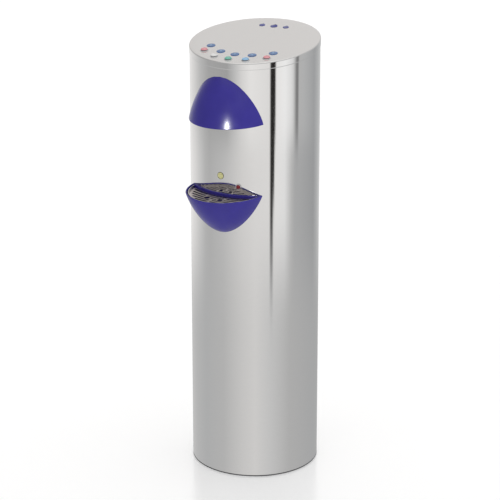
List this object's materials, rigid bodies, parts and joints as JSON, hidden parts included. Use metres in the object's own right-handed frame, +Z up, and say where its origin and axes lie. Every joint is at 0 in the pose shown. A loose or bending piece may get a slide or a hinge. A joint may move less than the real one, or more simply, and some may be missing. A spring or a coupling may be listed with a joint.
{
  "type": "free-standing water dispenser",
  "caption": "Free-standing cylindrical stainless water dispenser with a sloping push-button lid, moulded spout hood, drip bowl with lift-out grille, cooling and heating units inside.",
  "frame": {"origin": "on the floor at the axis of the column", "axes": "+Z up, the dispensing side faces -Y, +X to the right seen from the user's side facing the front"},
  "size_m": [0.302, 0.3805, 1.0442],
  "materials": {
    "stainless": "brushed, semi-bright",
    "steel_grille": "brushed",
    "screw_steel": "plain",
    "zinc_steel": "zinc plated",
    "dark_trim": "matte",
    "foot_rubber": "matte",
    "black_plastic": "satin",
    "green_plastic": "gloss",
    "red_plastic": "gloss",
    "brass": "machined",
    "white_plastic": "satin",
    "spout_blue": "gloss",
    "spout_red": "gloss",
    "blue_plastic": "moulded gloss",
    "clear_hose": "translucent",
    "lamp_red": "translucent gloss",
    "bezel_chrome": "polished",
    "disc_yellow": "printed film",
    "label_blue": "printed film under clear resin",
    "cap_pink": "gloss",
    "cap_white": "gloss",
    "cap_green": "gloss",
    "cap_light_blue": "gloss",
    "board_green": "solder mask",
    "compressor_black": "satin paint",
    "grommet_rubber": "matte",
    "copper": "drawn copper",
    "fin_aluminium": "plain",
    "tank_steel": "spun",
    "foam": "expanded foam",
    "valve_plastic": "satin"
  },
  "bodies": {
    "cabinet": {"body_shell": "stainless", "rear_panel": "stainless", "case_screws": "screw_steel", "lid": "stainless", "top_ring": "zinc_steel", "base_plate": "zinc_steel", "base_trim": "dark_trim", "frame_rail_left": "zinc_steel", "frame_rail_right": "zinc_steel", "tank_shelves": "zinc_steel", "services_plate": "stainless", "power_inlet": "black_plastic", "rocker_frames": "black_plastic", "water_inlet": "brass", "drain_outlet": "white_plastic", "hood": "blue_plastic", "spout_soffit": "white_plastic", "cold_spout": "spout_blue", "ambient_spout": "white_plastic", "hot_spout": "spout_red", "drip_bowl": "blue_plastic", "drain_spigot": "white_plastic", "drain_hose": "clear_hose", "pilot_lamp_lens": "lamp_red", "pilot_lamp_body": "bezel_chrome", "notice_disc": "disc_yellow", "label_discs": "label_blue", "emblem": "label_blue", "button_bezels": "bezel_chrome", "button_nuts": "brass", "control_board": "board_green", "compressor": "compressor_black", "compressor_grommets": "grommet_rubber", "condenser_coil": "copper", "condenser_fins": "fin_aluminium", "fan_frame": "black_plastic", "filter_drier": "copper", "refrigerant_lines": "copper", "cold_tank": "tank_steel", "evaporator_coil": "copper", "cold_insulation": "foam", "hot_tank": "tank_steel", "heating_element": "tank_steel", "hot_insulation": "foam", "water_filter": "white_plastic", "solenoid_valves": "valve_plastic", "water_tubes": "clear_hose"},
    "foot_front_left": {"foot_front_left": "foot_rubber"},
    "foot_front_right": {"foot_front_right": "foot_rubber"},
    "foot_rear_left": {"foot_rear_left": "foot_rubber"},
    "foot_rear_right": {"foot_rear_right": "foot_rubber"},
    "cooling_rocker": {"cooling_rocker": "green_plastic"},
    "heating_rocker": {"heating_rocker": "red_plastic"},
    "drip_grille": {"drip_grille": "steel_grille"},
    "button_cap_1": {"button_cap_1": "cap_pink"},
    "button_cap_2": {"button_cap_2": "cap_white"},
    "button_cap_3": {"button_cap_3": "cap_green"},
    "button_cap_4": {"button_cap_4": "cap_light_blue"},
    "button_cap_5": {"button_cap_5": "cap_pink"},
    "fan_rotor": {"fan_rotor": "black_plastic"}
  },
  "joints": [
    {"name": "foot_front_left_thread", "type": "slide", "parent": "cabinet", "child": "foot_front_left", "axis": [0, 0, -1], "range_m": [0, 0.012]},
    {"name": "foot_front_right_thread", "type": "slide", "parent": "cabinet", "child": "foot_front_right", "axis": [0, 0, -1], "range_m": [0, 0.012]},
    {"name": "foot_rear_left_thread", "type": "slide", "parent": "cabinet", "child": "foot_rear_left", "axis": [0, 0, -1], "range_m": [0, 0.012]},
    {"name": "foot_rear_right_thread", "type": "slide", "parent": "cabinet", "child": "foot_rear_right", "axis": [0, 0, -1], "range_m": [0, 0.012]},
    {"name": "cooling_rocker_pivot", "type": "hinge", "parent": "cabinet", "child": "cooling_rocker", "pos_m": [-0.009, 0.116, 0.058], "axis": [1, 0, 0], "range_deg": [0, 18]},
    {"name": "heating_rocker_pivot", "type": "hinge", "parent": "cabinet", "child": "heating_rocker", "pos_m": [0.013, 0.116, 0.058], "axis": [1, 0, 0], "range_deg": [0, 18]},
    {"name": "grille_lift", "type": "slide", "parent": "cabinet", "child": "drip_grille", "axis": [0, 0, 1], "range_m": [0, 0.1]},
    {"name": "button_1_press", "type": "slide", "parent": "cabinet", "child": "button_cap_1", "axis": [0, 0.1132, -0.9936], "range_m": [0, 0.002], "stiffness_N_per_m": 800, "springref_m": -0.001},
    {"name": "button_2_press", "type": "slide", "parent": "cabinet", "child": "button_cap_2", "axis": [0, 0.1132, -0.9936], "range_m": [0, 0.002], "stiffness_N_per_m": 800, "springref_m": -0.001},
    {"name": "button_3_press", "type": "slide", "parent": "cabinet", "child": "button_cap_3", "axis": [0, 0.1132, -0.9936], "range_m": [0, 0.002], "stiffness_N_per_m": 800, "springref_m": -0.001},
    {"name": "button_4_press", "type": "slide", "parent": "cabinet", "child": "button_cap_4", "axis": [0, 0.1132, -0.9936], "range_m": [0, 0.002], "stiffness_N_per_m": 800, "springref_m": -0.001},
    {"name": "button_5_press", "type": "slide", "parent": "cabinet", "child": "button_cap_5", "axis": [0, 0.1132, -0.9936], "range_m": [0, 0.002], "stiffness_N_per_m": 800, "springref_m": -0.001},
    {"name": "fan_spin", "type": "hinge", "parent": "cabinet", "child": "fan_rotor", "pos_m": [0, 0.055, 0.19], "axis": [0, 1, 0], "continuous": true}
  ]
}
